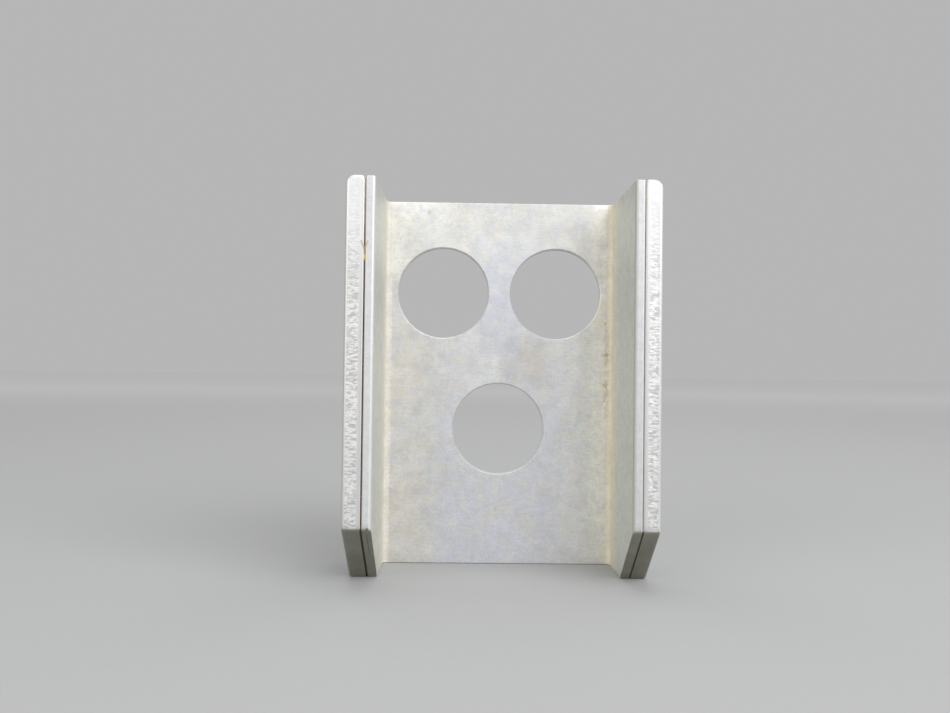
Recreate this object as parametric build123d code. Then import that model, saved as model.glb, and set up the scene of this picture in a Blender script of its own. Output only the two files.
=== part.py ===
from build123d import *
import os

# A folded channel of thin light-alloy sheet with a thicker flat plate bonded to the
# outside of each flange. It stands on its lower edges, +Z up, with the open side of the
# channel facing -Y. The origin is at the middle of the base. All sizes are in mm.

# Folded channel
channel_height = 76.2
channel_width = 51.4
channel_depth = 24.0
sheet_thickness = 1.8
inner_bend_radius = 1.0
flange_outer_edge_radius = 0.3
flange_inner_edge_radius = 0.6
sheet_end_radius = 0.25

# Side outline of the flanges and plates, clipped at 45 degrees at the lower front
corner_clip = 11.3
clip_front_radius = 1.0
clip_foot_radius = 0.6
plate_corner_radius = 0.5

# Round holes in the web: two side by side that fill its flat, and one centred below them
hole_side_margin = 1.475
hole_bridge = 4.75
upper_hole_drop = 19.2
hole_row_spacing = 28.6
hole_edge_break = 0.2

# Side plates, level with the foot of the channel and slightly proud of its top
plate_top_proud = 0.2
left_plate_thickness = 3.5
right_plate_thickness = 3.25
plate_outer_edge_radius = 0.6
plate_inner_edge_radius = 0.2
plate_outer_top_radius = 1.7
plate_inner_top_radius = 0.8

# Adhesive films between the flanges and the plates, held back from every open edge
left_film_thickness = 0.22
right_film_thickness = 0.12
film_setback = 0.4

# Places worked out from the sizes above
outer_bend_radius = inner_bend_radius + sheet_thickness
web_flat_width = channel_width - 2 * outer_bend_radius
hole_diameter = (web_flat_width - 2 * hole_side_margin - hole_bridge) / 2
hole_pitch = hole_diameter + hole_bridge
plate_height = channel_height + plate_top_proud
left_build_up = left_plate_thickness + left_film_thickness
right_build_up = right_plate_thickness + right_film_thickness
overall_width = left_build_up + channel_width + right_build_up
left_side = -overall_width / 2
right_side = overall_width / 2
left_flange_face = left_side + left_build_up
right_flange_face = right_side - right_build_up
channel_middle = (left_flange_face + right_flange_face) / 2
front = -channel_depth / 2
back = channel_depth / 2
upper_hole_height = channel_height - upper_hole_drop
hole_centres = [
    (channel_middle - hole_pitch / 2, upper_hole_height),
    (channel_middle + hole_pitch / 2, upper_hole_height),
    (channel_middle, upper_hole_height - hole_row_spacing),
]


def side_outline(height, corner_radius, foot_radius):
    """A flange or plate seen from the side, with its lower front corner clipped."""
    corner_radii = {
        (back, 0): corner_radius,
        (back, height): corner_radius,
        (front, height): corner_radius,
        (front, corner_clip): clip_front_radius,
        (front + corner_clip, 0): foot_radius,
    }
    outline = make_face(Polyline(*corner_radii, close=True))
    for corner, radius in corner_radii.items():
        if radius:
            outline = fillet(outline.vertices().sort_by_distance(corner)[0], radius)
    return outline


def slab(outline, side, thickness):
    """A side outline made solid from the plane X = side, towards +X."""
    return extrude(Plane.YZ.offset(side) * outline, thickness)


def bent_section():
    """The channel seen from above: two flanges joined by the web through round bends."""
    outer = Pos(channel_middle, 0) * Rectangle(channel_width, channel_depth)
    outer = fillet(outer.vertices().group_by(Axis.Y)[-1], outer_bend_radius)
    inner_width = channel_width - 2 * sheet_thickness
    inner = Pos(channel_middle, -sheet_thickness) * Rectangle(inner_width, channel_depth)
    inner = fillet(inner.vertices().group_by(Axis.Y)[-1], inner_bend_radius)
    section = outer - inner
    for half_width, radius in (
        (channel_width / 2, flange_outer_edge_radius),
        (inner_width / 2, flange_inner_edge_radius),
    ):
        for across in (channel_middle - half_width, channel_middle + half_width):
            flange_end = section.vertices().sort_by_distance((across, front))[0]
            section = fillet(flange_end, radius)
    return section


def make_channel():
    """The folded and clipped sheet with its ends rounded and its holes cut and broken."""
    folded = extrude(bent_section(), channel_height)
    clip = side_outline(channel_height, corner_radius=0, foot_radius=0)
    folded &= slab(clip, left_side, overall_width)
    for end in (0, channel_height):
        folded = fillet(folded.edges().filter_by_position(Axis.Z, end, end), sheet_end_radius)
    hole = Cylinder(hole_diameter / 2, 4 * sheet_thickness, rotation=(90, 0, 0))
    for across, height in hole_centres:
        folded -= Pos(across, back, height) * hole
    hole_rims = [
        edge
        for edge in folded.edges().filter_by(GeomType.CIRCLE)
        if abs(edge.radius - hole_diameter / 2) < 0.001
    ]
    return chamfer(hole_rims, hole_edge_break)


def make_plate(outer_face, inner_face):
    """A flat plate between two planes of X, rounded more on its outer face and its top."""
    side = min(outer_face, inner_face)
    thickness = abs(outer_face - inner_face)
    outline = side_outline(plate_height, plate_corner_radius, clip_foot_radius)
    plate = slab(outline, side, thickness)
    for face, radius in (
        (outer_face, plate_outer_edge_radius),
        (inner_face, plate_inner_edge_radius),
    ):
        plate = fillet(plate.edges().filter_by_position(Axis.X, face, face), radius)
    end_view = Pos(side + thickness / 2, plate_height / 2) * Rectangle(thickness, plate_height)
    for face, radius in (
        (outer_face, plate_outer_top_radius),
        (inner_face, plate_inner_top_radius),
    ):
        top_corner = end_view.vertices().sort_by_distance((face, plate_height))[0]
        end_view = fillet(top_corner, radius)
    return plate & extrude(Plane.XZ * end_view, channel_depth, both=True)


def make_film(side, thickness):
    """Adhesive over the flat of a flange, short of its edges and of the bend."""
    outline = side_outline(channel_height, corner_radius=0, foot_radius=0)
    outline = offset(outline, -film_setback)
    flat_of_flange = Pos(-outer_bend_radius, channel_height / 2) * Rectangle(
        channel_depth, channel_height
    )
    return slab(outline & flat_of_flange, side, thickness)


parts = {
    "channel": make_channel(),
    "left_plate": make_plate(left_side, left_side + left_plate_thickness),
    "right_plate": make_plate(right_side, right_side - right_plate_thickness),
    "left_bond": make_film(left_flange_face - left_film_thickness, left_film_thickness),
    "right_bond": make_film(right_flange_face, right_film_thickness),
}

os.makedirs("parts", exist_ok=True)
for name, part in parts.items():
    export_step(part, f"parts/{name}.step")
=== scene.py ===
import math

import bmesh
import bpy
from bpy.props import FloatProperty, FloatVectorProperty, PointerProperty
from mathutils import Euler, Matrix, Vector


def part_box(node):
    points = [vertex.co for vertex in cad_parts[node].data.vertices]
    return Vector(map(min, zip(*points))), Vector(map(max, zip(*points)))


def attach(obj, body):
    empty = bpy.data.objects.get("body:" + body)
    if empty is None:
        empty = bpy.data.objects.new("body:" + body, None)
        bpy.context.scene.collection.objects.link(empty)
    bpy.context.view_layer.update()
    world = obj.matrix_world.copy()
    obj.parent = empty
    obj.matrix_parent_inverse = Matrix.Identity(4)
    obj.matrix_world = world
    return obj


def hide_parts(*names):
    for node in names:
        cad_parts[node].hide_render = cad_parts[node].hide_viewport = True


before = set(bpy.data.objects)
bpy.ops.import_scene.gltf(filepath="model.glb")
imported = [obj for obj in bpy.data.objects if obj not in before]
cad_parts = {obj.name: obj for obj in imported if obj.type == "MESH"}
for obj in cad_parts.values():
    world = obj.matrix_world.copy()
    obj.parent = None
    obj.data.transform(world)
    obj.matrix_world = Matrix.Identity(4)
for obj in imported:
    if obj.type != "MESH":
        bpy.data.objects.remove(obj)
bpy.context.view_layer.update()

bl_info = {
    "name": "Channel Spacer",
    "version": (1, 0, 0),
    "blender": (4, 5, 0),
    "location": "View3D > Sidebar > Spacer",
    "description": "Finishes a bonded channel spacer and sets it on a studio floor",
    "category": "Object",
}

MM = 0.001
ROOT = "root"
CHANNEL_LOW, CHANNEL_HIGH = (Vector(corner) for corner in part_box("channel"))

# Places on the channel in millimetres, the last three as distances from its middle
CHANNEL_MIDDLE = (CHANNEL_LOW.x + CHANNEL_HIGH.x) / 2 / MM
SHEET_THICKNESS = 1.8
OUTER_BEND_RADIUS = 2.8
CLIP_LEG = 11.3
FRONT = CHANNEL_LOW.y / MM
WEB_FACE = CHANNEL_HIGH.y / MM - SHEET_THICKNESS
BOND_FACE = (CHANNEL_HIGH.x - CHANNEL_LOW.x) / 2 / MM
FLANGE_FACE = BOND_FACE - SHEET_THICKNESS
BEND_EDGE = BOND_FACE - OUTER_BEND_RADIUS

# Directions on the spacer
RIGHT = (1.0, 0.0, 0.0)
LEFT = (-1.0, 0.0, 0.0)
FORWARD = (0.0, -1.0, 0.0)

# Sockets of a node that mixes two colours
MIX_FACTOR, MIX_UNDER, MIX_OVER, MIX_RESULT = 0, 6, 7, 2

# Usual lowest and highest values of a noise
NOISE_RANGE = (0.3, 0.7)

# Marks on the coat: a centre and a radius in millimetres
WARM_PATCH = ((6.8, 10.2, 42.8), 5.0)
BEND_STAINS = (
    ((22.9, 10.1, 50.8), 0.55),
    ((22.7, 10.1, 44.4), 1.10),
    ((22.9, 10.0, 42.6), 0.60),
    ((22.9, 10.0, 37.6), 0.95),
    ((22.8, 10.0, 34.7), 0.70),
)
TOP_SMUDGE = ((-14.9, 10.2, 74.1), 0.60)
FAINT_SMUDGE = ((-18.3, 10.2, 72.5), 0.45)
YELLOW_SPOT = ((21.2, 10.2, 75.1), 0.25)
CLIP_DENT = ((-24.45, -12.0, 11.6), 0.35)

# Strokes seen from the front: two (x, z) ends and half a width in millimetres
CLIP_SCRATCH = ((-24.62, 10.4), (-24.52, 5.7), 0.04)
SMEAR_ARMS = (
    ((-26.26, 64.15), (-25.64, 62.70), 0.13),
    ((-25.00, 64.15), (-25.64, 62.70), 0.13),
)
STROKE_FADE = 0.08

# Torn band: its place as shares of the plate's thickness, and shares of its full depth
TORN_GROUP = "torn"
TEAR_START, TEAR_END, TEAR_FADE = 0.18, 0.78, 0.12
LEAST_TEAR = 0.2
CLEAR_OF_CLIP = 0.4 * MM
GRIT_FINENESS, GRIT_SHARE = 2.2, 0.4

# Reach of the crown in its own radii, and the longest edge left undivided in cells
CROWN_REACH = 2.2
LONG_EDGE = 1.6
MOST_CUTS = 20

# Turns at the corners of a plate's side view
SQUARE_TURN, SLANTED_TURN = math.radians(90), math.radians(45)

# Drops of adhesive out of the left seam: centres and half sizes in millimetres
SQUEEZED_DROPS = (
    ((-25.635, -11.66, 61.1), (0.20, 0.28, 0.70)),
    ((-25.635, -11.72, 62.5), (0.14, 0.22, 0.95)),
)
DROP_VOXEL = 0.04 * MM

# Stage, in metres but for the paper's fade and the film, which are in millimetres
FLOOR_SIZE, FLOOR_DROP = 8.0, 0.02 * MM
PAPER_FADE_BEFORE = 600.0
PAPER_FADE = (550.0, 2000.0)
LAMP_AIM = Vector((0.0, 0.0, 0.04))
LAMPS = (
    ("key_lamp", "key_power", (0.36, -0.46, 0.42), 0.60),
    ("fill_lamp", "fill_power", (-0.45, -0.45, 0.25), 0.50),
    ("top_lamp", "top_power", (0.0, 0.10, 0.60), 0.50),
)
WHITE = (1.0, 1.0, 1.0, 1.0)
FILM_WIDTH = 36.0
CLOSEST_SEEN, FARTHEST_SEEN = 5 * MM, 20.0


def colour_setting(name, description, default):
    """A colour that a user may change."""
    return FloatVectorProperty(
        name=name,
        description=description,
        subtype="COLOR",
        size=3,
        min=0.0,
        max=1.0,
        default=default,
    )


def length_setting(name, description, default_mm):
    """A length that a user may change, given in millimetres."""
    return FloatProperty(
        name=name, description=description, subtype="DISTANCE", default=default_mm * MM
    )


def power_setting(name, description, default):
    """The power of a lamp, in watts."""
    return FloatProperty(name=name, description=description, subtype="POWER", default=default)


def angle_setting(name, description, default_degrees):
    """An angle that a user may change, given in degrees."""
    return FloatProperty(
        name=name,
        description=description,
        subtype="ANGLE",
        default=math.radians(default_degrees),
    )


class SpacerFinishSettings(bpy.types.PropertyGroup):
    """Colours of the sheet, the plates and the adhesive, with painted light and shade among them.
    """

    coat: colour_setting("Coat", "Pale conversion coat on the channel", (0.64, 0.64, 0.63))
    warm_cast: colour_setting("Warm cast", "Yellowish cast on the web", (0.69, 0.655, 0.595))
    # Painted light on the web's top and right side
    painted_light: colour_setting("Bright top", "Brightest coat on the web", (0.74, 0.74, 0.715))
    cool_cast: colour_setting("Cool cast", "Bluish cast on the web", (0.56, 0.57, 0.62))
    # Yellowish tint beside the right bend, made paler as painted light against the right flange's
    # shade
    olive_tint_and_light: colour_setting("Olive cast", "Cast beside the right bend", (0.78, 0.76, 0.67))
    cool_fleck: colour_setting("Cool fleck", "Bluish flecks in the coat", (0.50, 0.53, 0.62))
    warm_fleck: colour_setting("Warm fleck", "Yellowish flecks in the coat", (0.73, 0.68, 0.57))
    green_fleck: colour_setting("Green fleck", "Greenish flecks in the coat", (0.58, 0.66, 0.57))
    rose_fleck: colour_setting("Rose fleck", "Rosy flecks in the coat", (0.68, 0.60, 0.66))
    flange: colour_setting("Flange", "Greenish grey of the flanges", (0.60, 0.61, 0.555))
    # Painted light on the web beside the bends
    margin_light: colour_setting("Pale margin", "Coat beside the bends", (0.88, 0.87, 0.81))
    left_bend: colour_setting("Left bend", "Yellowish left bend", (0.66, 0.625, 0.545))
    right_bend: colour_setting("Right bend", "Tan right bend", (0.68, 0.62, 0.48))
    plate: colour_setting("Plate", "Satin faces of the side plates", (0.62, 0.62, 0.61))
    cut_edge: colour_setting("Cut edge", "Bright metal of sheared edges", (0.60, 0.605, 0.615))
    # Painted light, paler high up on the left plate's edge
    painted_edge_light: colour_setting("Pale edge", "Left plate's edge, high up", (0.76, 0.76, 0.765))
    # Grain of the torn band, with painted shade in its hollows and painted light on its crests
    torn_hollow_shade: colour_setting("Torn hollow", "Hollows of the torn band", (0.47, 0.46, 0.45))
    torn_crest_light: colour_setting("Torn crest", "Crests of the torn band", (0.74, 0.74, 0.735))
    sheet_edge: colour_setting("Sheet edge", "Cut edge of the sheet", (0.53, 0.535, 0.545))
    # Painted highlight on the front roundings that face right and along the left crease
    painted_highlight: colour_setting("Burnished", "Bright roundings to the right", (0.78, 0.78, 0.79))
    # Painted shade on the front roundings that face left
    painted_left_shade: colour_setting("Dulled", "Dull roundings to the left", (0.44, 0.43, 0.38))
    # Painted shade and reflection of the clipped corners, which face down
    clip_shade: colour_setting("Clip", "Dull olive grey of the clipped corners", (0.23, 0.23, 0.19))
    dark_mark: colour_setting("Dark mark", "Scratch and dent by the left clip", (0.03, 0.03, 0.03))
    stain: colour_setting("Stain", "Brown specks and smudges on the web", (0.40, 0.26, 0.09))
    yellow_spot: colour_setting("Yellow spot", "At the web's top right", (0.60, 0.50, 0.20))
    bond: colour_setting("Bond line", "Adhesive on the left, brown", (0.085, 0.043, 0.026))
    thin_bond: colour_setting("Thin bond line", "Adhesive on the right", (0.38, 0.37, 0.40))
    crumb: colour_setting("Crumb", "Pale crumbs in the adhesive", (0.50, 0.36, 0.28))
    amber: colour_setting("Amber", "Thick adhesive out of the left seam", (0.50, 0.38, 0.06))
    tan: colour_setting("Tan", "Thin adhesive out of the left seam", (0.38, 0.24, 0.14))
    smear: colour_setting("Smear", "Adhesive wiped over the left seam", (0.46, 0.38, 0.25))
    beside_bond: colour_setting("Beside bond", "Tan strip by the adhesive", (0.50, 0.43, 0.36))
    # Painted shade and reflection on the greenish outer roundings
    outer_rounding_shade: colour_setting("Outer edge", "Greenish outer roundings", (0.50, 0.55, 0.46))


class SpacerPlateSettings(bpy.types.PropertyGroup):
    """Shape of the sheared edges of the side plates."""

    outer_radius: length_setting("Outer rounding", "Between the edge and the outer face", 0.6)
    inner_radius: length_setting("Inner rounding", "Between the edge and the bond", 0.2)
    corner_radius: length_setting("Corners", "Rounding of the corners in side view", 0.8)
    clip: length_setting("Clip", "Leg of the 45 degree clip at the lower front", CLIP_LEG)
    outer_crown: length_setting("Outer crown", "Rounding of the top to the outer face", 1.7)
    inner_crown: length_setting("Inner crown", "Rounding of the top to the bond", 0.8)
    tear_depth: length_setting("Tear depth", "Depth of the torn band", 0.075)
    tear_size: length_setting("Tear size", "Height of the scales in the torn band", 0.23)
    tear_length: FloatProperty(
        name="Tear length", description="Length of a scale as a share of its height", default=3.0
    )
    tear_growth: length_setting("Tear growth", "Below the top, to the full depth", 24.0)
    cell: length_setting("Cell", "Height of the faces that carry the torn band", 0.10)


class SpacerStageSettings(bpy.types.PropertyGroup):
    """Floor, lamps and camera."""

    floor: colour_setting("Floor", "Studio paper under the spacer", (0.38, 0.382, 0.385))
    far_floor: colour_setting("Far floor", "Studio paper far off", (0.97, 0.97, 0.97))
    ambient: FloatProperty(
        name="Ambient", description="Even light from all around", default=0.47, min=0.0
    )
    key_power: power_setting("Key lamp", "Lamp at the front right", 4.7)
    fill_power: power_setting("Fill lamp", "Lamp at the front left", 1.8)
    top_power: power_setting("Top lamp", "Lamp overhead", 1.3)
    camera_place: FloatVectorProperty(
        name="Camera",
        description="Where the camera stands",
        subtype="TRANSLATION",
        unit="LENGTH",
        size=3,
        default=(-7.358 * MM, -152.346 * MM, 40.973 * MM),
    )
    camera_heading: angle_setting("Heading", "Turn to the left of straight ahead", -0.886)
    camera_tilt: angle_setting("Tilt", "Rise of the camera's view above the level", 0.929)
    camera_roll: angle_setting("Roll", "Turn of the camera about its own view", 0.697)
    camera_lens: FloatProperty(
        name="Lens", description="Focal length on a 36 mm wide film", default=29.126
    )


def with_alpha(colour):
    """Gives a plain colour its alpha, and leaves a joined colour as it is."""
    if isinstance(colour, bpy.types.NodeSocket):
        return colour
    return (*colour, 1.0)


class Finish:
    """A material made of plain steps that read the piece's own place in millimetres."""

    NODES_PER_ROW = 8
    NODE_WIDTH, NODE_HEIGHT = 220, 260

    def __init__(self, name):
        self.material = bpy.data.materials.new(name)
        self.material.use_nodes = True
        self.tree = self.material.node_tree
        self.shader = self.tree.nodes["Principled BSDF"]
        coordinates = self.add("ShaderNodeTexCoord")
        self.normal = coordinates.outputs["Normal"]
        feeds = {"Vector": coordinates.outputs["Object"], "Scale": 1 / MM}
        self.place = self.add("ShaderNodeVectorMath", feeds, operation="SCALE").outputs["Vector"]

    def add(self, kind, feeds=None, **settings):
        """Adds a node to the left of the shader, sets it, and joins or sets its inputs."""
        node = self.tree.nodes.new(kind)
        row, column = divmod(len(self.tree.nodes), self.NODES_PER_ROW)
        to_left = self.NODES_PER_ROW - column
        node.location = (-self.NODE_WIDTH * (to_left + 1), -self.NODE_HEIGHT * row)
        for setting, value in settings.items():
            setattr(node, setting, value)
        for socket, value in (feeds or {}).items():
            self.feed(node.inputs[socket], value)
        return node

    def feed(self, socket, value):
        """Joins an output to an input, or sets a plain value on it."""
        if isinstance(value, bpy.types.NodeSocket):
            self.tree.links.new(value, socket)
        else:
            socket.default_value = value

    def surface(self, **feeds):
        """Feeds the shader's inputs, named with underscores for spaces."""
        for name, value in feeds.items():
            self.feed(self.shader.inputs[name.replace("_", " ").title()], value)

    def math(self, operation, first, second=0.0):
        """One sum, product, difference or the like."""
        return self.add("ShaderNodeMath", {0: first, 1: second}, operation=operation).outputs[0]

    def axes(self):
        """The three parts of the place."""
        return self.add("ShaderNodeSeparateXYZ", {0: self.place}).outputs

    def noise(self, size, detail=3.0, stretch=(1.0, 1.0, 1.0), shift=0.0, roughness=0.5):
        """Cloudy noise, from 0 to 1, with features of a size in millimetres."""
        feeds = {"Vector": self.place, "Location": (shift, shift, shift), "Scale": stretch}
        mapped = self.add("ShaderNodeMapping", feeds).outputs[0]
        feeds = {"Vector": mapped, "Scale": 1 / size, "Detail": detail, "Roughness": roughness}
        return self.add("ShaderNodeTexNoise", feeds).outputs["Fac"]

    def ramp(self, value, start, end, low=0.0, high=1.0):
        """Goes smoothly from low to high as the value goes from start to end."""
        feeds = {"Value": value, "From Min": start, "From Max": end, "To Min": low, "To Max": high}
        node = self.add("ShaderNodeMapRange", feeds, interpolation_type="SMOOTHSTEP")
        return node.outputs["Result"]

    def band(self, value, centre, half_width, soft):
        """Is 1 within a band about a centre, and fades out over its soft edges."""
        offset = self.math("ABSOLUTE", self.math("SUBTRACT", value, centre))
        return self.ramp(offset, half_width + soft, half_width)

    def both(self, *masks):
        """Is 1 only where every mask is 1."""
        result = masks[0]
        for mask in masks[1:]:
            result = self.math("MULTIPLY", result, mask)
        return result

    def either(self, *masks):
        """Is 1 where any mask is 1."""
        result = masks[0]
        for mask in masks[1:]:
            result = self.math("MAXIMUM", result, mask)
        return result

    def along(self, vector, direction):
        """How far a vector reaches along a direction of length one."""
        feeds = {0: vector, 1: direction}
        return self.add("ShaderNodeVectorMath", feeds, operation="DOT_PRODUCT").outputs["Value"]

    def facing(self, direction, start, end):
        """Goes to 1 as the surface turns to a direction of length one."""
        return self.ramp(self.along(self.normal, direction), start, end)

    def at_front(self):
        """Is 1 within half a millimetre of the front."""
        return self.ramp(self.axes()[1], FRONT + 0.8, FRONT + 0.5)

    def near_clip(self, far, close):
        """Is 1 at the clipped corner, from far off to close by in millimetres."""
        y, z = self.axes()[1:]
        off_clip = self.math("SUBTRACT", self.math("ADD", y, z), FRONT + CLIP_LEG)
        return self.ramp(off_clip, far, close)

    def on_clip(self):
        """Is 1 on the clipped face itself."""
        return self.near_clip(0.60, 0.10)

    def above_clip(self):
        """Is 1 on the clipped face and fades out just above it."""
        return self.near_clip(1.6, 0.4)

    def stroke(self, start, end, half_width):
        """Is 1 along a straight stroke seen from the front, between two (x, z) places."""
        run = Vector((end[0] - start[0], 0.0, end[1] - start[1]))
        middle = Vector((end[0] + start[0], 0.0, end[1] + start[1])) / 2
        direction = run.normalized()
        across = Vector((-direction.z, 0.0, direction.x))
        bands = [
            self.band(self.along(self.place, axis), middle.dot(axis), half, STROKE_FADE)
            for axis, half in ((direction, run.length / 2), (across, half_width))
        ]
        return self.both(*bands)

    def spot(self, centre, radius, wobble):
        """Is 1 inside a ragged spot about a place in millimetres."""
        feeds = {0: self.place, 1: centre}
        distance = self.add("ShaderNodeVectorMath", feeds, operation="DISTANCE").outputs["Value"]
        ragged = self.math("ADD", distance, self.math("MULTIPLY", wobble, radius))
        return self.ramp(ragged, 1.5 * radius, radius)

    def blend(self, factor, under, over):
        """Lays one colour over another by a factor."""
        node = self.add("ShaderNodeMix", data_type="RGBA")
        self.feed(node.inputs[MIX_FACTOR], factor)
        self.feed(node.inputs[MIX_UNDER], with_alpha(under))
        self.feed(node.inputs[MIX_OVER], with_alpha(over))
        return node.outputs[MIX_RESULT]

    def lay(self, colour, over, mask, share=1.0):
        """Lays a colour over another where a mask is, at a share of its strength."""
        return self.blend(self.math("MULTIPLY", mask, share), colour, over)

    def lit(self, colour, brightness):
        """Multiplies the brightness of a colour."""
        feeds = {"Value": brightness, "Color": with_alpha(colour)}
        return self.add("ShaderNodeHueSaturation", feeds).outputs[0]

    def dimmed(self, colour, mask, share):
        """Darkens a colour by a share where a mask is."""
        return self.lit(colour, self.ramp(mask, 0.0, 1.0, 1.0, 1.0 - share))

    def mottled(self, colour, noise, share):
        """Darkens and brightens a colour by a share as a noise falls and rises."""
        return self.lit(colour, self.ramp(noise, *NOISE_RANGE, 1.0 - share, 1.0 + share))

    def relief(self, height, depth, under=None):
        """Bumps of a depth in millimetres, over any bumps under them."""
        feeds = {"Height": height, "Distance": depth * MM, "Strength": 1.0}
        if under is not None:
            feeds["Normal"] = under
        return self.add("ShaderNodeBump", feeds).outputs["Normal"]


def forked_smear(finish):
    """The forked smear of adhesive that crosses the left seam."""
    arms = finish.either(*(finish.stroke(*arm) for arm in SMEAR_ARMS))
    return finish.both(arms, finish.ramp(finish.axes()[1], FRONT + 1.0, FRONT + 0.6))


class ChannelCoat(Finish):
    """Pale conversion coat with its casts, flecks, bend bands and specks, with painted light on
    the web and a painted highlight and painted shade on its edges.
    """

    def __init__(self, colours):
        super().__init__("channel_coat")
        self.colours = colours
        self.x, self.y, self.z = self.axes()
        self.across = self.math("SUBTRACT", self.x, CHANNEL_MIDDLE)
        self.from_middle = self.math("ABSOLUTE", self.across)
        self.clouds = self.noise(13.0, 4.0, shift=3.0)
        self.mottle = self.noise(3.2, 4.0, shift=11.0, roughness=0.6)
        self.flecks = self.noise(1.1, 3.0, shift=17.0, roughness=0.65)
        self.ripples = self.noise(0.42, 2.0, stretch=(0.25, 0.25, 1.0), shift=2.0)
        self.grain = self.noise(0.22, 2.0)
        self.inside = self.both(
            self.ramp(self.from_middle, FLANGE_FACE + 0.7, FLANGE_FACE + 0.4),
            self.ramp(self.y, WEB_FACE + 0.4, WEB_FACE + 0.1),
        )
        self.left_bend = self.both(
            self.ramp(self.across, -BEND_EDGE + 0.05, -BEND_EDGE - 0.10),
            self.ramp(self.y, 1.0, 9.4),
            self.inside,
        )
        self.right_bend = self.both(
            self.ramp(self.across, BEND_EDGE - 0.4, BEND_EDGE + 0.4),
            self.ramp(self.y, 0.5, 9.2),
            self.inside,
        )

    def lay_inside(self, colour, over, share, *masks):
        """Lays a colour where every mask is, on the faces inside the channel only."""
        return self.lay(colour, over, self.both(*masks, self.inside), share)

    def patch(self, centre, half_width, soft, height, half_height, soft_height):
        """Is 1 in a soft patch of the web about a place across it and a height."""
        return self.both(
            self.band(self.across, centre, half_width, soft),
            self.band(self.z, height, half_height, soft_height),
        )

    def web_casts(self, colour):
        """Adds the warm, cool and olive tones of the web from place to place, with painted light
        at its top, on its right side and beside the bends.
        """
        across, z, colours = self.across, self.z, self.colours
        # Painted light, paler towards the top left of the web
        painted_light = (self.ramp(z, 58.0, 74.0), self.ramp(across, 4.0, -12.0))
        colour = self.lay_inside(colour, colours.painted_light, 1.0, *painted_light)

        warm_side = self.both(self.ramp(across, -11.0, -20.0), self.ramp(z, 66.0, 34.0))
        warm = self.either(warm_side, self.spot(*WARM_PATCH, self.clouds))
        clouded = self.ramp(self.clouds, 0.35, 0.62)
        colour = self.lay_inside(colour, colours.warm_cast, 0.95, warm, clouded)

        low_down = self.both(self.band(across, 2.0, 12.0, 6.0), self.ramp(z, 58.0, 22.0))
        between_holes = self.patch(0.0, 2.0, 5.0, 55.0, 6.0, 9.0)
        cool = self.either(low_down, between_holes)
        mottled = self.ramp(self.mottle, 0.25, 0.60)
        colour = self.lay_inside(colour, colours.cool_cast, 0.95, cool, mottled)
        colour = self.lay_inside(colour, colours.cool_cast, 0.7, between_holes)

        # Painted light on the right side of the web, against the right flange's shade
        painted_side_light = (self.ramp(across, 9.0, 17.0), self.ramp(z, 62.0, 48.0))
        colour = self.lay_inside(colour, colours.painted_light, 0.6, *painted_side_light)
        # Yellowish tint beside the right bend, paler as painted light against the right flange's
        # shade
        olive = (self.ramp(across, 18.5, 21.5), self.ramp(self.mottle, 0.1, 0.5))
        colour = self.lay_inside(colour, colours.olive_tint_and_light, 0.7, *olive)
        # Painted light at the web's top left and top right, beside the bends
        top_left = self.both(self.ramp(across, -15.0, -20.0), self.ramp(z, 57.0, 65.0))
        right_side = self.both(self.ramp(across, 17.0, 21.5), self.ramp(z, 74.5, 71.5))
        margin = self.either(top_left, right_side)
        return self.lay_inside(colour, colours.margin_light, 0.6, margin)

    def coat_flecks(self, colour):
        """Adds cool, warm, green and rose flecks in two sizes of cloud."""
        colours = self.colours
        patches = self.noise(2.4, 3.0, shift=23.0)
        tints = self.noise(0.8, 3.0, shift=29.0, roughness=0.65)
        for noise, high, low, share in (
            (patches, colours.cool_fleck, colours.warm_fleck, 0.28),
            (self.flecks, colours.cool_fleck, colours.warm_fleck, 0.12),
            (tints, colours.green_fleck, colours.rose_fleck, 0.22),
        ):
            colour = self.lay(colour, high, self.ramp(noise, 0.50, 0.66), share)
            colour = self.lay(colour, low, self.ramp(noise, 0.50, 0.34), share)
        return colour

    def flanges_and_bends(self, colour):
        """Adds the greenish flanges, the two bend bands and a painted highlight along the left
        crease.
        """
        colours = self.colours
        flanges = self.both(
            self.ramp(self.from_middle, FLANGE_FACE - 0.7, FLANGE_FACE - 0.2),
            self.ramp(self.y, WEB_FACE - 0.4, WEB_FACE - 1.6),
        )
        colour = self.lay(colour, colours.flange, flanges)
        colour = self.lay(colour, colours.left_bend, self.left_bend, 0.8)
        colour = self.lay(colour, colours.right_bend, self.right_bend, 0.8)
        # Painted highlight along the crease where the left bend meets the web
        crease = (
            self.band(self.across, -BEND_EDGE + 0.08, 0.07, 0.10),
            self.ramp(self.y, WEB_FACE - 0.8, WEB_FACE - 0.4),
            self.ramp(self.ripples, 0.35, 0.55),
        )
        return self.lay_inside(colour, colours.painted_highlight, 0.7, *crease)

    def dim_and_mottle(self, colour):
        """Dims the top strip and the place amid the holes, and mottles the whole coat."""
        across_middle = self.band(self.across, 4.0, 13.0, 6.0)
        top_strip = self.both(self.ramp(self.z, 65.0, 71.0), across_middle)
        amid_holes = self.patch(5.5, 1.5, 7.0, 43.0, 2.0, 7.0)
        dim = self.either(amid_holes, self.math("MULTIPLY", top_strip, 0.7))
        colour = self.dimmed(colour, self.both(dim, self.inside), 0.14)
        for noise, share in (
            (self.mottle, 0.055),
            (self.flecks, 0.04),
            (self.ripples, 0.03),
            (self.grain, 0.06),
        ):
            colour = self.mottled(colour, noise, share)
        return colour

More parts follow.
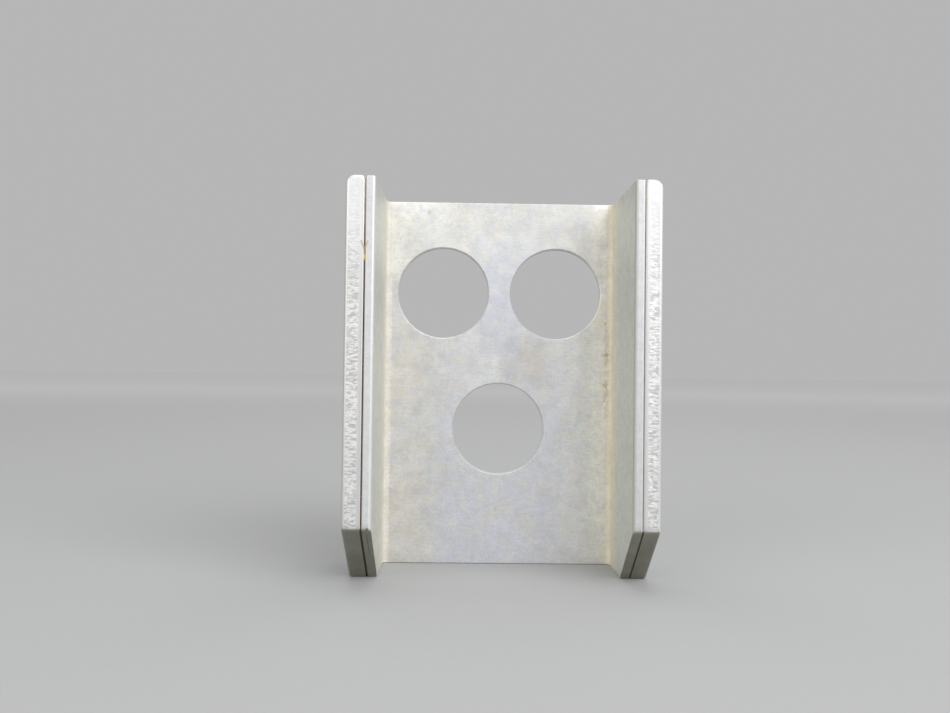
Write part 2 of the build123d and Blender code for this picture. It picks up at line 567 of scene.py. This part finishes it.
    def bend_specks(self):
        """Is 1 at the brown specks and runs beside the right bend."""
        stains = self.either(*(self.spot(*stain, self.flecks) for stain in BEND_STAINS))
        runs = self.both(self.patch(BEND_EDGE, 0.35, 0.3, 41.0, 8.0, 4.0), self.inside)
        return self.both(
            self.either(stains, self.math("MULTIPLY", runs, 0.5)),
            self.ramp(self.noise(0.55, 3.0, shift=5.0), 0.40, 0.60),
        )

    def stains(self, colour, specks):
        """Adds the specks at the bend, two smudges and a yellow spot at the top."""
        colours = self.colours
        colour = self.lay(colour, colours.stain, specks, 0.62)
        faint = self.math("MULTIPLY", self.spot(*FAINT_SMUDGE, self.flecks), 0.5)
        smudges = self.either(self.spot(*TOP_SMUDGE, self.flecks), faint)
        colour = self.lay(colour, colours.stain, smudges, 0.35)
        return self.lay(colour, colours.yellow_spot, self.spot(*YELLOW_SPOT, self.flecks), 0.6)

    def front_edges(self, colour):
        """Adds the cut front edges with their pits, painted shade above the clip, and roundings
        with a painted highlight to the right and painted shade to the left.
        """
        colours = self.colours
        front = self.both(
            self.facing(FORWARD, 0.55, 0.9), self.ramp(self.y, FRONT + 1.2, FRONT + 0.6)
        )
        pits = self.ramp(self.noise(0.17, 1.0, shift=8.0), 0.60, 0.70, 1.0, 0.0)
        edge = self.mottled(colours.sheet_edge, pits, 0.09)
        edge = self.mottled(edge, self.flecks, 0.05)
        edge = self.mottled(edge, self.ramp(self.x, 8.0, -8.0, 0.2, 0.8), 0.04)
        colour = self.lay(colour, edge, front)
        # Painted shade fading up the front edges just above the clip
        colour = self.lay(colour, colours.clip_shade, self.both(front, self.above_clip()), 0.3)
        at_front = self.at_front()
        # Painted highlight on the front roundings that face right
        painted_highlight = self.both(self.facing(RIGHT, 0.10, 0.45), at_front)
        # Painted shade on the front roundings that face left
        painted_left_shade = self.both(self.facing(LEFT, 0.10, 0.60), at_front)
        colour = self.lay(colour, colours.painted_highlight, painted_highlight, 0.55)
        return self.lay(colour, colours.painted_left_shade, painted_left_shade, 0.8)

    def clip_faces(self, colour):
        """Adds the clipped faces in painted shade and reflection, dark beside the bond, with a
        scratch and a dent.
        """
        colours = self.colours
        clipped = self.on_clip()
        # Painted shade and reflection on the clipped faces
        clip_shade = self.mottled(colours.clip_shade, self.mottle, 0.12)
        colour = self.lay(colour, clip_shade, clipped)
        beside_bond = self.ramp(self.from_middle, BOND_FACE - 0.16, BOND_FACE - 0.08)
        colour = self.lay(colour, colours.bond, self.both(beside_bond, clipped), 0.8)
        scratch = self.both(self.stroke(*CLIP_SCRATCH), clipped)
        marks = self.either(scratch, self.spot(*CLIP_DENT, self.mottle))
        return self.lay(colour, colours.dark_mark, marks, 0.55)

    def build(self):
        """Joins all the steps to the shader and gives the material."""
        specks = self.bend_specks()
        smear = forked_smear(self)
        bends = self.either(self.left_bend, self.right_bend)

        colour = self.web_casts(self.colours.coat)
        colour = self.coat_flecks(colour)
        colour = self.flanges_and_bends(colour)
        colour = self.dim_and_mottle(colour)
        colour = self.stains(colour, specks)
        colour = self.front_edges(colour)
        colour = self.clip_faces(colour)
        colour = self.lay(colour, self.colours.smear, smear, 0.85)

        roughness = self.ramp(self.mottle, 0.2, 0.8, 0.47, 0.57)
        roughness = self.math("ADD", roughness, self.math("MULTIPLY", bends, 0.15))
        metal = self.ramp(self.either(bends, specks, smear), 0.0, 1.0, 0.50, 0.12)
        normal = self.relief(self.noise(9.0, 1.0, shift=7.0), 0.03)
        normal = self.relief(self.ripples, 0.005, normal)
        normal = self.relief(self.grain, 0.005, normal)
        self.surface(base_color=colour, metallic=metal, roughness=roughness, normal=normal)
        return self.material


def plate_finish(name, colours, outer, inner, is_left):
    """Satin plate faces with a torn granular band around the sheared edge, with painted light and
    shade on its relief, roundings and clip.
    """
    plate = Finish(name)
    x, y, z = plate.axes()
    from_outer = plate.math("ABSOLUTE", plate.math("SUBTRACT", x, outer))
    depth = plate.math("DIVIDE", from_outer, abs(inner - outer))
    mottle = plate.noise(6.0, 4.0, shift=9.0, roughness=0.6)
    scales = plate.noise(0.27, 2.0, stretch=(0.3, 1.0, 1.0), shift=4.0, roughness=0.6)
    grit = plate.noise(0.16, 2.0)
    faces = plate.either(plate.facing(RIGHT, 0.90, 0.99), plate.facing(LEFT, 0.90, 0.99))
    rim = plate.math("SUBTRACT", 1.0, faces)

    colour = plate.lay(plate.mottled(colours.plate, mottle, 0.035), colours.cut_edge, rim)
    if is_left:
        # Painted light: the left plate's edge paler high up
        high_up = plate.both(rim, plate.ramp(z, 48.0, 74.0))
        colour = plate.lay(colour, colours.painted_edge_light, high_up)
    across_edge = plate.both(plate.ramp(depth, 0.12, 0.22), plate.ramp(depth, 0.84, 0.70))
    torn = plate.both(rim, across_edge, plate.ramp(z, 74.0, 50.0, 0.25, 1.0))
    # Grain of the torn band, darker in the hollows and paler on the crests of its bumps: painted
    # shade and light
    crests = plate.ramp(scales, 0.36, 0.62)
    torn_colour = plate.blend(crests, colours.torn_hollow_shade, colours.torn_crest_light)
    colour = plate.blend(torn, colour, torn_colour)
    # Painted shade and reflection on the plate's outer rounding
    greenish = plate.both(plate.ramp(depth, 0.19, 0.08), rim)
    colour = plate.lay(colour, colours.outer_rounding_shade, greenish, 0.8)
    beside_bond = plate.both(plate.ramp(depth, 0.86, 0.97), rim)
    colour = plate.lay(colour, colours.beside_bond, beside_bond, 0.5)

    at_front = plate.at_front()
    # Painted shade on the rim just above the clip
    shade_above_clip = plate.both(rim, at_front, plate.above_clip())
    colour = plate.lay(colour, colours.clip_shade, shade_above_clip, 0.3)
    # Painted highlight on the front roundings that face right
    painted_highlight = plate.both(plate.facing(RIGHT, 0.15, 0.50), at_front)
    colour = plate.lay(colour, colours.painted_highlight, painted_highlight, 0.8)
    # Painted shade and reflection on the clipped face
    clipped = plate.on_clip()
    colour = plate.lay(colour, plate.mottled(colours.clip_shade, mottle, 0.12), clipped)
    dark_strip = plate.both(plate.ramp(depth, 0.96, 0.98), clipped)
    colour = plate.lay(colour, colours.bond, dark_strip, 0.8)
    colour = plate.mottled(colour, grit, 0.03)
    if is_left:
        colour = plate.lay(colour, colours.smear, forked_smear(plate), 0.85)

    roughness = plate.ramp(mottle, 0.2, 0.8, 0.40, 0.50)
    roughness = plate.math("ADD", roughness, plate.math("MULTIPLY", torn, 0.08))
    scaly = plate.math("MULTIPLY", scales, torn)
    normal = plate.relief(grit, 0.004, plate.relief(scaly, 0.02))
    plate.surface(base_color=colour, metallic=0.6, roughness=roughness, normal=normal)
    return plate.material


def bond_finish(name, colour, colours):
    """Cured adhesive with clouds and pale crumbs, dark low down, and paler high up as painted
    light against the shade in its gap.
    """
    bond = Finish(name)
    z = bond.axes()[2]
    colour = bond.blend(bond.ramp(z, 13.0, 10.5), colour, colours.bond)
    # Painted light: paler high up, against the shade in the seam's gap
    colour = bond.lay(colour, colours.beside_bond, bond.ramp(z, 62.0, 74.0), 0.8)
    clouds = bond.noise(2.4, 4.0, shift=6.0)
    colour = bond.mottled(colour, clouds, 0.3)
    crumbs = bond.ramp(bond.noise(0.7, 1.0, shift=12.0), 0.70, 0.76)
    colour = bond.lay(colour, colours.crumb, crumbs, 0.8)
    roughness = bond.ramp(clouds, *NOISE_RANGE, 0.4, 0.6)
    normal = bond.relief(bond.noise(0.35), 0.02)
    bond.surface(base_color=colour, roughness=roughness, normal=normal)
    return bond.material


def squeezed_finish(colours):
    """Adhesive squeezed out: yellow where it is thick, tan where it thins out."""
    adhesive = Finish("squeezed_adhesive")
    z = adhesive.axes()[2]
    clouds = adhesive.noise(0.8)
    colour = adhesive.blend(adhesive.ramp(z, 62.0, 61.7), colours.tan, colours.amber)
    colour = adhesive.lay(colour, colours.tan, adhesive.ramp(z, 61.0, 60.6), 0.6)
    colour = adhesive.mottled(colour, clouds, 0.1)
    roughness = adhesive.ramp(clouds, *NOISE_RANGE, 0.25, 0.4)
    adhesive.surface(base_color=colour, roughness=roughness)
    return adhesive.material


def paper_finish(near_colour, far_colour):
    """Matte studio paper that pales with the distance from a place before the spacer."""
    paper = Finish("studio_paper")
    x, y = paper.axes()[:2]
    back = paper.math("ADD", y, PAPER_FADE_BEFORE)
    squares = paper.math("ADD", paper.math("MULTIPLY", x, x), paper.math("MULTIPLY", back, back))
    far = paper.ramp(paper.math("SQRT", squares), *PAPER_FADE)
    near_colour = paper.mottled(near_colour, paper.noise(1.5), 0.005)
    paper.surface(base_color=paper.blend(far, near_colour, far_colour), roughness=0.95)
    return paper.material


def select_nothing():
    """Leaves object mode clean for the next piece."""
    if bpy.context.mode != "OBJECT":
        bpy.ops.object.mode_set(mode="OBJECT")
    bpy.ops.object.select_all(action="DESELECT")


def select_only(item):
    """Makes one object the only selected and the active one."""
    select_nothing()
    item.select_set(True)
    bpy.context.view_layer.objects.active = item


def wear(piece, material):
    """Puts one material on a piece in place of what it has."""
    piece.data.materials.clear()
    piece.data.materials.append(material)


def apply_modifier(piece, kind, **settings):
    """Adds a modifier to the active piece, sets it and applies it."""
    bpy.ops.object.modifier_add(type=kind)
    modifier = piece.modifiers[-1]
    for setting, value in settings.items():
        setattr(modifier, setting, value)
    bpy.ops.object.modifier_apply(modifier=modifier.name)


def near(value, other):
    """Two lengths that agree to a thousandth of a millimetre."""
    return abs(value - other) < 0.001 * MM


def held(value, least=0.0):
    """A share held between its least value and 1."""
    return min(1.0, max(least, value))


def pick_edges(test):
    """Selects the edges of the edited mesh whose two ends pass a test, and lists their lengths."""
    bpy.ops.mesh.select_mode(type="EDGE")
    bpy.ops.mesh.select_all(action="DESELECT")
    mesh = bpy.context.edit_object.data
    edited = bmesh.from_edit_mesh(mesh)
    picked = [edge for edge in edited.edges if test(edge.verts[0].co, edge.verts[1].co)]
    for edge in picked:
        edge.select_set(True)
    lengths = [edge.calc_length() for edge in picked]
    bmesh.update_edit_mesh(mesh)
    return lengths


def pick_rim(x):
    """Selects the edges that run around the plate at one of its faces."""
    pick_edges(lambda a, b: near(a.x, x) and near(b.x, x))


def round_corner(y, z, radius, turn):
    """Rounds the edge that runs through the plate at one corner of its side view."""
    pick_edges(lambda a, b: near(a.y, y) and near(b.y, y) and near(a.z, z) and near(b.z, z))
    bpy.ops.mesh.bevel(offset=radius * math.tan(turn / 2), segments=5, affect="EDGES")


def open_faces(piece):
    """Takes the plate's two flat faces away, so that only its rim is left to divide."""
    bpy.ops.mesh.select_mode(type="FACE")
    bpy.ops.mesh.select_all(action="DESELECT")
    edited = bmesh.from_edit_mesh(piece.data)
    for face in edited.faces:
        face.select_set(abs(face.normal.x) > 0.9)
    bmesh.update_edit_mesh(piece.data)
    bpy.ops.mesh.delete(type="ONLY_FACE")


def divide_perimeter(cell):
    """Divides the long runs around the rim into cells, the longest first."""
    while True:
        lengths = pick_edges(lambda a, b: near(a.x, b.x) and (a - b).length > LONG_EDGE * cell)
        if not lengths:
            return
        longest = max(lengths)
        pick_edges(lambda a, b: near(a.x, b.x) and near((a - b).length, longest))
        bpy.ops.mesh.subdivide(number_cuts=min(MOST_CUTS, max(1, round(longest / cell) - 1)))


def quarter_drop(gap, radius):
    """How far a quarter round lies below its top, at a gap from its side."""
    if gap >= radius:
        return 0.0
    return radius - math.sqrt(radius**2 - (radius - gap) ** 2)


def crown_top(piece, outer, inner, top, settings):
    """Files the plate's top round towards its two faces."""
    reach = CROWN_REACH * settings.outer_crown
    for vertex in piece.data.vertices:
        if vertex.co.z < top - reach:
            continue
        for face, crown, rounding in (
            (outer, settings.outer_crown, settings.outer_radius),
            (inner, settings.inner_crown, settings.inner_radius),
        ):
            gap = abs(vertex.co.x - face)
            already = quarter_drop(gap, rounding)
            share = held(1.0 - (top - already - vertex.co.z) / reach)
            ease = share * share * (3.0 - 2.0 * share)
            vertex.co.z -= ease * (quarter_drop(gap, crown) - already)


def add_stretch(length):
    """An empty whose axes stretch a pattern across the edge."""
    select_nothing()
    bpy.ops.object.empty_add(scale=(length, 1.0, 1.0))
    return bpy.context.object


def mark_torn_band(piece, outer, inner, low, high, settings):
    """Weights each point by how deep the tear is there, clear of the roundings and the clip."""
    group = piece.vertex_groups.new(name=TORN_GROUP)
    for vertex in piece.data.vertices:
        depth = (vertex.co.x - outer) / (inner - outer)
        rise = held((depth - TEAR_START) / TEAR_FADE)
        fall = held((TEAR_END - depth) / TEAR_FADE)
        below_top = held((high.z - vertex.co.z) / settings.tear_growth, LEAST_TEAR)
        clip_height = settings.clip - (vertex.co.y - low.y) + CLEAR_OF_CLIP
        on_clip = vertex.co.z - low.z < clip_height
        weight = 0.0 if on_clip else rise * fall * below_top
        group.add([vertex.index], weight, "REPLACE")


def tear_edge(piece, settings):
    """Sinks scales and grit into the marked band of the sheared edge."""
    stretch = add_stretch(settings.tear_length)
    for name, size, share in (
        ("scales", settings.tear_size, 1.0),
        ("grit", settings.tear_size / GRIT_FINENESS, GRIT_SHARE),
    ):
        texture = bpy.data.textures.new(f"{piece.name}_{name}", "CLOUDS")
        texture.noise_scale = size
        texture.noise_depth = 2
        texture.contrast = 1.5
        select_only(piece)
        apply_modifier(
            piece,
            "DISPLACE",
            texture=texture,
            texture_coords="OBJECT",
            texture_coords_object=stretch,
            vertex_group=TORN_GROUP,
            mid_level=1.0,
            strength=share * settings.tear_depth,
        )
    select_only(stretch)
    bpy.ops.object.delete()
    select_only(piece)


def keep_inside(piece, low, high):
    """Holds every point of a piece within its box."""
    for vertex in piece.data.vertices:
        place = zip(vertex.co, low, high)
        vertex.co = [min(max(value, least), most) for value, least, most in place]


def even_shading(piece):
    """Smooth shading in which the flat faces stay flat."""
    bpy.ops.object.shade_smooth()
    apply_modifier(piece, "WEIGHTED_NORMAL", weight=100)


def model_plate(node, is_left, settings):
    """A clipped flat plate with rounded rims, a crowned top and a torn edge."""
    low, high = (Vector(corner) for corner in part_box(node))
    outer, inner = (low.x, high.x) if is_left else (high.x, low.x)
    select_nothing()
    bpy.ops.mesh.primitive_cube_add(size=1.0, location=(low + high) / 2, scale=high - low)
    piece = bpy.context.object
    piece.name = f"{node}_sheared"
    bpy.ops.object.transform_apply(location=True, rotation=True, scale=True)

    bpy.ops.object.mode_set(mode="EDIT")
    bpy.ops.mesh.select_all(action="SELECT")
    clip_start = (0.0, low.y, low.z + settings.clip)
    bpy.ops.mesh.bisect(
        plane_co=clip_start, plane_no=(0.0, -1.0, -1.0), use_fill=True, clear_outer=True
    )
    corner = settings.corner_radius
    for y, z, radius, turn in (
        (high.y, low.z, corner, SQUARE_TURN),
        (high.y, high.z, corner, SQUARE_TURN),
        (low.y, high.z, corner, SQUARE_TURN),
        (low.y, low.z + settings.clip, 1.25 * corner, SLANTED_TURN),
        (low.y + settings.clip, low.z, corner, SLANTED_TURN),
    ):
        round_corner(y, z, radius, turn)
    open_faces(piece)
    divide_perimeter(settings.cell)
    for x in (outer, inner):
        pick_rim(x)
        bpy.ops.mesh.edge_face_add()
    for x, radius in ((outer, settings.outer_radius), (inner, settings.inner_radius)):
        pick_rim(x)
        bpy.ops.mesh.bevel(offset=radius, segments=4, affect="EDGES")
    strip = abs(inner - outer) - settings.outer_radius - settings.inner_radius
    pick_edges(lambda a, b: near(abs(a.x - b.x), strip))
    bpy.ops.mesh.subdivide(number_cuts=round(strip / (2 * settings.cell)) - 1)
    bpy.ops.mesh.select_all(action="SELECT")
    bpy.ops.mesh.normals_make_consistent(inside=False)
    bpy.ops.object.mode_set(mode="OBJECT")

    crown_top(piece, outer, inner, high.z, settings)
    mark_torn_band(piece, outer, inner, low, high, settings)
    tear_edge(piece, settings)
    keep_inside(piece, low, high)
    even_shading(piece)
    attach(piece, ROOT)
    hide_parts(node)
    return piece, outer / MM, inner / MM


def add_drop(place, half_sizes):
    """One drop of adhesive, given in millimetres."""
    bpy.ops.mesh.primitive_uv_sphere_add(
        segments=20,
        ring_count=12,
        radius=1.0,
        location=[part * MM for part in place],
        scale=[part * MM for part in half_sizes],
    )
    return bpy.context.object


def model_squeeze_out(name, drops):
    """Drops of adhesive run together into one smooth bead."""
    select_nothing()
    parts = [add_drop(*drop) for drop in drops]
    for part in parts:
        part.select_set(True)
    bpy.ops.object.join()
    bead = bpy.context.object
    bead.name = name
    bpy.ops.object.transform_apply(location=True, rotation=True, scale=True)
    apply_modifier(bead, "REMESH", mode="VOXEL", voxel_size=DROP_VOXEL)
    apply_modifier(bead, "SMOOTH", iterations=3)
    bpy.ops.object.shade_smooth()
    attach(bead, ROOT)
    return bead


def add_lamp(name, place, size, power):
    """A soft square lamp turned to the spacer."""
    bpy.ops.object.light_add(type="AREA", location=place)
    lamp = bpy.context.object
    lamp.name = name
    lamp.data.size = size
    lamp.data.energy = power
    lamp.rotation_euler = (LAMP_AIM - Vector(place)).to_track_quat("-Z", "Y").to_euler()


def add_camera(settings):
    """The camera at the photographed view."""
    bpy.ops.object.camera_add(location=settings.camera_place)
    camera = bpy.context.object
    camera.name = "view_camera"
    camera.data.sensor_width = FILM_WIDTH
    camera.data.lens = settings.camera_lens
    camera.data.clip_start = CLOSEST_SEEN
    camera.data.clip_end = FARTHEST_SEEN
    turn = Euler((math.pi / 2 + settings.camera_tilt, 0.0, settings.camera_heading)).to_matrix()
    roll = Euler((0.0, 0.0, settings.camera_roll)).to_matrix()
    camera.rotation_euler = (turn @ roll).to_euler()
    bpy.context.scene.camera = camera


def add_even_light(scene, strength):
    """White light of one strength from all around."""
    world = bpy.data.worlds.new("studio")
    scene.world = world
    world.use_nodes = True
    even = world.node_tree.nodes["Background"]
    even.inputs["Color"].default_value = WHITE
    even.inputs["Strength"].default_value = strength


class SPACER_OT_channel(bpy.types.Operator):
    """Gives the folded channel its coat, casts, specks and painted highlights and shade on its
    edges
    """

    bl_idname = "spacer.channel"
    bl_label = "Channel"

    def execute(self, context):
        wear(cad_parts["channel"], ChannelCoat(context.scene.spacer_finish).build())
        return {"FINISHED"}


class SPACER_OT_plates(bpy.types.Operator):
    """Models the two side plates with their torn sheared edges"""

    bl_idname = "spacer.plates"
    bl_label = "Side plates"

    def execute(self, context):
        colours = context.scene.spacer_finish
        for node, is_left in (("left_plate", True), ("right_plate", False)):
            piece, outer, inner = model_plate(node, is_left, context.scene.spacer_plate)
            wear(piece, plate_finish(f"{node}_metal", colours, outer, inner, is_left))
        return {"FINISHED"}


class SPACER_OT_bonds(bpy.types.Operator):
    """Finishes the adhesive films and adds the bead squeezed out of the left seam"""

    bl_idname = "spacer.bonds"
    bl_label = "Bond lines"

    def execute(self, context):
        colours = context.scene.spacer_finish
        for node, colour in (("left_bond", colours.bond), ("right_bond", colours.thin_bond)):
            wear(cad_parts[node], bond_finish(f"{node}_line", colour, colours))
        bead = model_squeeze_out("left_squeeze_out", SQUEEZED_DROPS)
        wear(bead, squeezed_finish(colours))
        return {"FINISHED"}


class SPACER_OT_stage(bpy.types.Operator):
    """Adds the floor, the lamps and the camera"""

    bl_idname = "spacer.stage"
    bl_label = "Stage"

    def execute(self, context):
        settings = context.scene.spacer_stage
        select_nothing()
        bpy.ops.mesh.primitive_plane_add(size=FLOOR_SIZE, location=(0.0, 0.0, -FLOOR_DROP))
        floor = context.object
        floor.name = "studio_floor"
        bpy.ops.object.transform_apply(location=True, rotation=True, scale=True)
        wear(floor, paper_finish(settings.floor, settings.far_floor))
        for name, power, place, size in LAMPS:
            add_lamp(name, place, size, getattr(settings, power))
        add_even_light(context.scene, settings.ambient)
        add_camera(settings)
        context.scene.view_settings.view_transform = "Standard"
        return {"FINISHED"}


class SPACER_PT_panel(bpy.types.Panel):
    """Lists the spacer's steps and settings"""

    bl_idname = "SPACER_PT_panel"
    bl_label = "Channel Spacer"
    bl_space_type = "VIEW_3D"
    bl_region_type = "UI"
    bl_category = "Spacer"

    def draw(self, context):
        for step in (SPACER_OT_channel, SPACER_OT_plates, SPACER_OT_bonds, SPACER_OT_stage):
            self.layout.operator(step.bl_idname)
        for settings in (
            context.scene.spacer_finish,
            context.scene.spacer_plate,
            context.scene.spacer_stage,
        ):
            box = self.layout.box()
            for name in type(settings).__annotations__:
                box.prop(settings, name)


CLASSES = (
    SpacerFinishSettings,
    SpacerPlateSettings,
    SpacerStageSettings,
    SPACER_OT_channel,
    SPACER_OT_plates,
    SPACER_OT_bonds,
    SPACER_OT_stage,
    SPACER_PT_panel,
)


def register():
    for item in CLASSES:
        bpy.utils.register_class(item)
    bpy.types.Scene.spacer_finish = PointerProperty(type=SpacerFinishSettings)
    bpy.types.Scene.spacer_plate = PointerProperty(type=SpacerPlateSettings)
    bpy.types.Scene.spacer_stage = PointerProperty(type=SpacerStageSettings)


def unregister():
    del bpy.types.Scene.spacer_stage
    del bpy.types.Scene.spacer_plate
    del bpy.types.Scene.spacer_finish
    for item in reversed(CLASSES):
        bpy.utils.unregister_class(item)


def main():
    register()
    bpy.ops.spacer.channel()
    bpy.ops.spacer.plates()
    bpy.ops.spacer.bonds()
    bpy.ops.spacer.stage()


if __name__ == "__main__":
    main()
